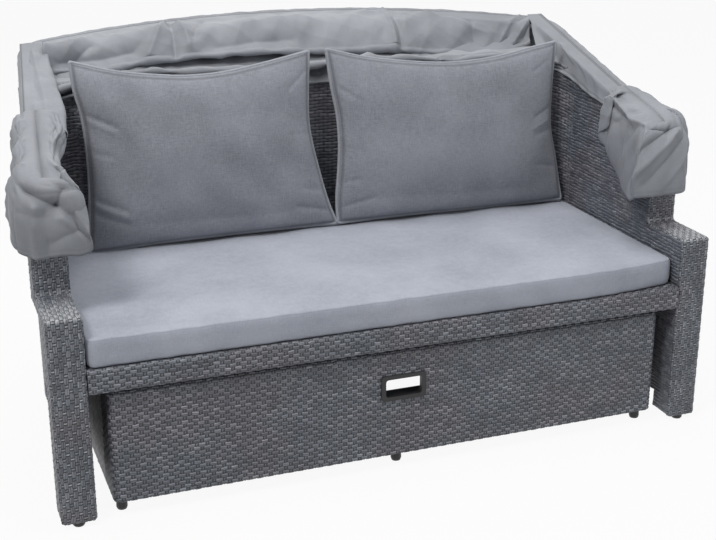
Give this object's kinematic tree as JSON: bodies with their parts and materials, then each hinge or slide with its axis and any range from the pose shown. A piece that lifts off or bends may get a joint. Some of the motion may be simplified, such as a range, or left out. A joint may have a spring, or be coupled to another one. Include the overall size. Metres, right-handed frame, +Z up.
{
  "type": "outdoor daybed with canopy",
  "caption": "Woven outdoor daybed with stepped arms, a pull-out footstool, a seat cushion, loose back pillows and a folding fabric canopy on bent hoops.",
  "frame": {"origin": "on the floor, under the middle of the whole part's bounding box, canopy folded down and footstool pushed in", "axes": "+X along the seat towards the sitter's left arm, +Y towards the back, +Z up; the seat's open front faces -Y"},
  "size_m": [1.5702, 0.9301, 0.8887],
  "materials": {
    "wicker": "flat-strand synthetic wicker in mixed dark grey and grey-brown",
    "seat_fabric": "plain woven blue-grey outdoor polyester",
    "pillow_fabric": "heathered grey woven polyester with piped seams",
    "canopy_fabric": "light blue-grey coated canopy cloth with a soft sheen",
    "frame_metal": "dark powder coat, satin",
    "bolt_metal": "zinc-plated steel",
    "black_plastic": "moulded black plastic, satin"
  },
  "bodies": {
    "sofa": {"arm_post_front_left": "frame_metal", "arm_post_front_right": "frame_metal", "arm_post_rear_left": "frame_metal", "arm_post_rear_right": "frame_metal", "arm_post_wing_left": "frame_metal", "arm_post_wing_right": "frame_metal", "arm_rail_left": "frame_metal", "arm_rail_right": "frame_metal", "arm_weave_left": "wicker", "arm_weave_right": "wicker", "back_post_left": "frame_metal", "back_post_right": "frame_metal", "back_rail_seat": "frame_metal", "back_rail_top": "frame_metal", "back_weave": "wicker", "canopy_bag_left": "canopy_fabric", "canopy_bag_right": "canopy_fabric", "canopy_gore_rear": "canopy_fabric", "glide_front_left": "black_plastic", "glide_front_right": "black_plastic", "glide_rear_left": "black_plastic", "glide_rear_right": "black_plastic", "hoop_bracket_left": "frame_metal", "hoop_bracket_right": "frame_metal", "hoop_pivot_bolt_left": "bolt_metal", "hoop_pivot_bolt_right": "bolt_metal", "pillow_left": "pillow_fabric", "pillow_right": "pillow_fabric", "seat_apron_weave": "wicker", "seat_bolt_left_front": "bolt_metal", "seat_bolt_left_rear": "bolt_metal", "seat_bolt_right_front": "bolt_metal", "seat_bolt_right_rear": "bolt_metal", "seat_crossbar_left": "frame_metal", "seat_crossbar_right": "frame_metal", "seat_cushion": "seat_fabric", "seat_rail_front": "frame_metal", "seat_rail_left": "frame_metal", "seat_rail_rear": "frame_metal", "seat_rail_right": "frame_metal"},
    "footstool": {"footstool_glide_front_left": "black_plastic", "footstool_glide_front_middle": "black_plastic", "footstool_glide_front_right": "black_plastic", "footstool_glide_rear_left": "black_plastic", "footstool_glide_rear_right": "black_plastic", "footstool_handle": "black_plastic", "footstool_post_front_left": "frame_metal", "footstool_post_front_middle": "frame_metal", "footstool_post_front_right": "frame_metal", "footstool_post_rear_left": "frame_metal", "footstool_post_rear_right": "frame_metal", "footstool_rail_front": "frame_metal", "footstool_rail_rear": "frame_metal", "footstool_weave": "wicker"},
    "hoop_rear": {"canopy_gore_mid": "canopy_fabric", "hoop_rear": "frame_metal"},
    "hoop_mid": {"canopy_gore_front": "canopy_fabric", "hoop_mid": "frame_metal"},
    "hoop_front": {"canopy_pocket": "canopy_fabric", "hoop_front": "frame_metal"}
  },
  "joints": [
    {"name": "footstool_slide", "type": "slide", "parent": "sofa", "child": "footstool", "axis": [0, -1, 0], "range_m": [0, 0.6]},
    {"name": "hoop_rear_pivot", "type": "hinge", "parent": "sofa", "child": "hoop_rear", "pos_m": [0, -0.272, 0.674], "axis": [1, 0, 0], "range_deg": [0, 46], "deforming": ["canopy_gore_front", "canopy_gore_mid", "canopy_gore_rear", "canopy_bag_left", "canopy_bag_right"]},
    {"name": "hoop_mid_pivot", "type": "hinge", "parent": "hoop_rear", "child": "hoop_mid", "pos_m": [0, -0.272, 0.674], "axis": [1, 0, 0], "range_deg": [0, 46], "deforming": ["canopy_gore_front", "canopy_gore_mid", "canopy_gore_rear", "canopy_bag_left", "canopy_bag_right"]},
    {"name": "hoop_front_pivot", "type": "hinge", "parent": "hoop_mid", "child": "hoop_front", "pos_m": [0, -0.272, 0.674], "axis": [1, 0, 0], "range_deg": [0, 46], "deforming": ["canopy_gore_front", "canopy_gore_mid", "canopy_gore_rear", "canopy_bag_left", "canopy_bag_right"]}
  ]
}
